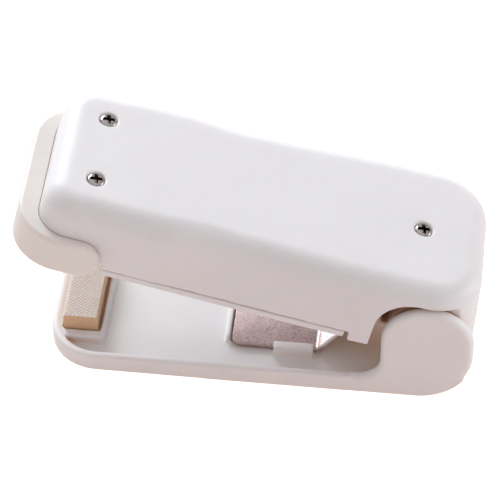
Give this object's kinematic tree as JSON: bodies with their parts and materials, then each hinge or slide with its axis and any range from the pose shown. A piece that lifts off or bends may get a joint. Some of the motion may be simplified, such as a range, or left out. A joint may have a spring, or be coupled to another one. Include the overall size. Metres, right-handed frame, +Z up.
{
  "type": "handheld bag heat sealer",
  "caption": "Handheld bag heat sealer: flat base with a silicone pad and hinge ears, and a sprung battery arm with a floating heated jaw that presses bags shut.",
  "frame": {"origin": "on the flat underside of the base, under the middle of its length and width", "axes": "+X runs from the jaws to the hinge along the length, +Y is across it, and +Z is up from the underside"},
  "size_m": [0.1139, 0.0466, 0.0561],
  "materials": {
    "white_plastic": "fine satin moulding",
    "cream_plastic": "satin moulding",
    "inner_plastic": "plain moulding",
    "silicone": "knurled",
    "spring_steel": "satin",
    "nickel": "polished",
    "brass": "stamped",
    "cell_sleeve": "printed sleeve, plain",
    "glass_cloth": "coated cloth",
    "mica": "layered",
    "red_wire": "insulation",
    "black_wire": "insulation"
  },
  "bodies": {
    "base": {"base_shell": "white_plastic", "sealing_pad": "silicone", "leaf_spring": "spring_steel", "hinge_pin": "nickel"},
    "arm": {"top_housing": "white_plastic", "battery_chassis": "inner_plastic", "cell_left": "cell_sleeve", "cell_right": "cell_sleeve", "positive_contact": "brass", "negative_contact": "brass", "bridge_contact": "brass", "housing_screw_left": "nickel", "housing_screw_right": "nickel", "housing_screw_rear": "nickel", "contact_blade_left": "brass", "contact_blade_right": "brass", "battery_wire_left": "red_wire", "battery_wire_right": "black_wire", "jaw_spring_left": "spring_steel", "jaw_spring_right": "spring_steel"},
    "jaw": {"front_jaw": "cream_plastic", "heater_backing": "mica", "heating_ribbon": "nickel", "ribbon_cover": "glass_cloth", "terminal_left": "brass", "terminal_right": "brass", "terminal_screw_left": "nickel", "terminal_screw_right": "nickel"},
    "door": {"battery_door": "white_plastic"}
  },
  "joints": [
    {"name": "arm_hinge", "type": "hinge", "parent": "base", "child": "arm", "pos_m": [0.042, 0, 0.0187], "axis": [0, 1, 0], "range_deg": [-12.8, 47.4], "stiffness_Nm_per_rad": 0.6, "springref_deg": 5.73, "deforming": ["leaf_spring"]},
    {"name": "jaw_press", "type": "slide", "parent": "arm", "child": "jaw", "axis": [0.2181, 0, 0.9759], "range_m": [0, 0.001], "stiffness_N_per_m": 1500, "springref_m": -0.001, "deforming": ["jaw_spring_left", "jaw_spring_right"]},
    {"name": "door_off", "type": "slide", "parent": "arm", "child": "door", "axis": [-0.2181, 0, -0.9759], "range_m": [0, 0.007]}
  ]
}
